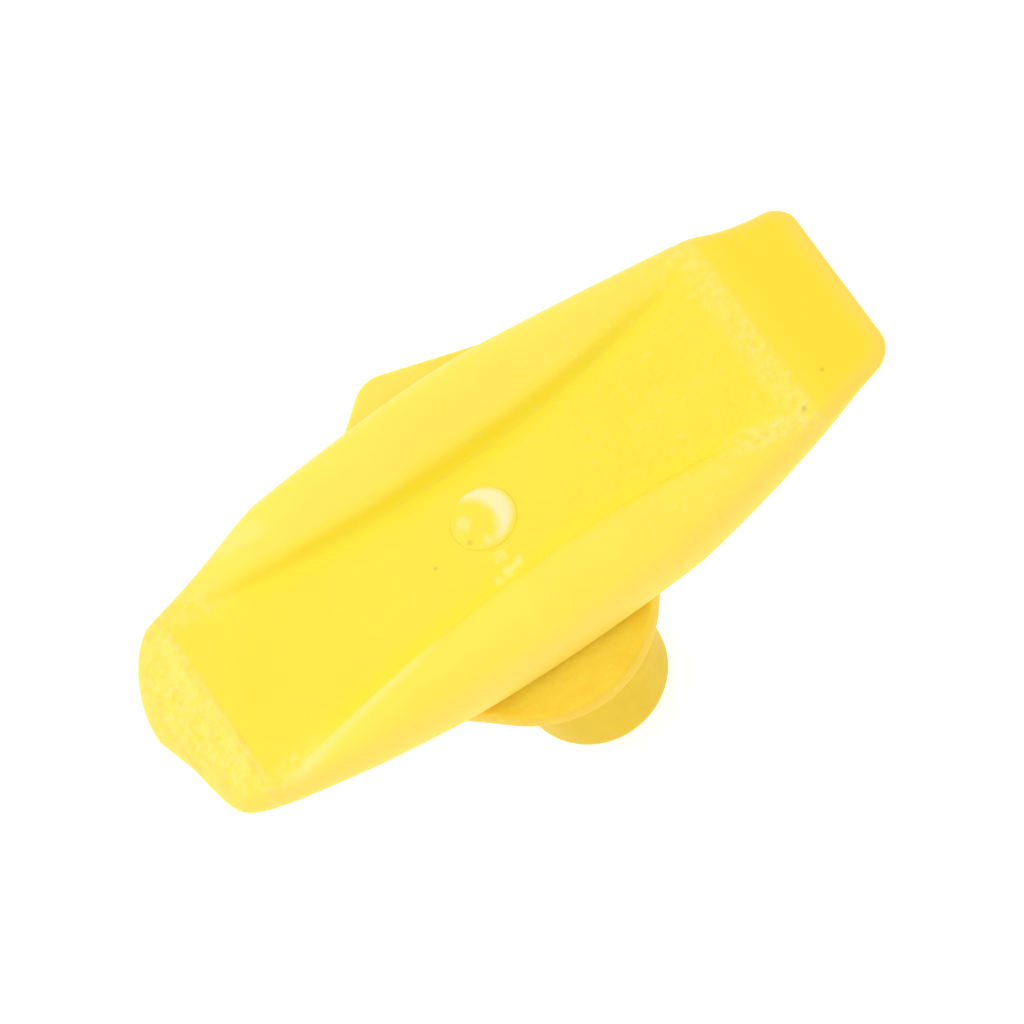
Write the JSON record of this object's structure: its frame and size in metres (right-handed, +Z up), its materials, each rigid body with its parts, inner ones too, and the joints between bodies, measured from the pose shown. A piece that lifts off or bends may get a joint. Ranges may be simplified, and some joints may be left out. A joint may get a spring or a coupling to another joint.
{
  "type": "turn button",
  "caption": "Small moulded turn button: boat-shaped swivelling handle with a trough, on a shield-shaped base plate with a round mounting peg.",
  "frame": {"origin": "pivot axis at the base plate's seating face, where the mounting peg leaves it", "axes": "+Z up the pivot away from the panel; +X along the handle at rest, towards its straight chisel end"},
  "size_m": [0.0413, 0.0227, 0.0224],
  "materials": {
    "handle_plastic": "lightly textured yellow moulding",
    "plate_plastic": "fine spark-textured yellow moulding",
    "peg_plastic": "smooth yellow moulding",
    "pin_plastic": "smooth yellow moulding, pale where the head is pressed"
  },
  "bodies": {
    "base": {"base_plate": "plate_plastic", "mounting_peg": "peg_plastic", "pivot_pin": "pin_plastic"},
    "handle": {"turn_handle": "handle_plastic"}
  },
  "joints": [
    {"name": "handle_turn", "type": "hinge", "parent": "base", "child": "handle", "pos_m": [0, 0, 0.001], "axis": [0, 0, 1], "continuous": true}
  ]
}
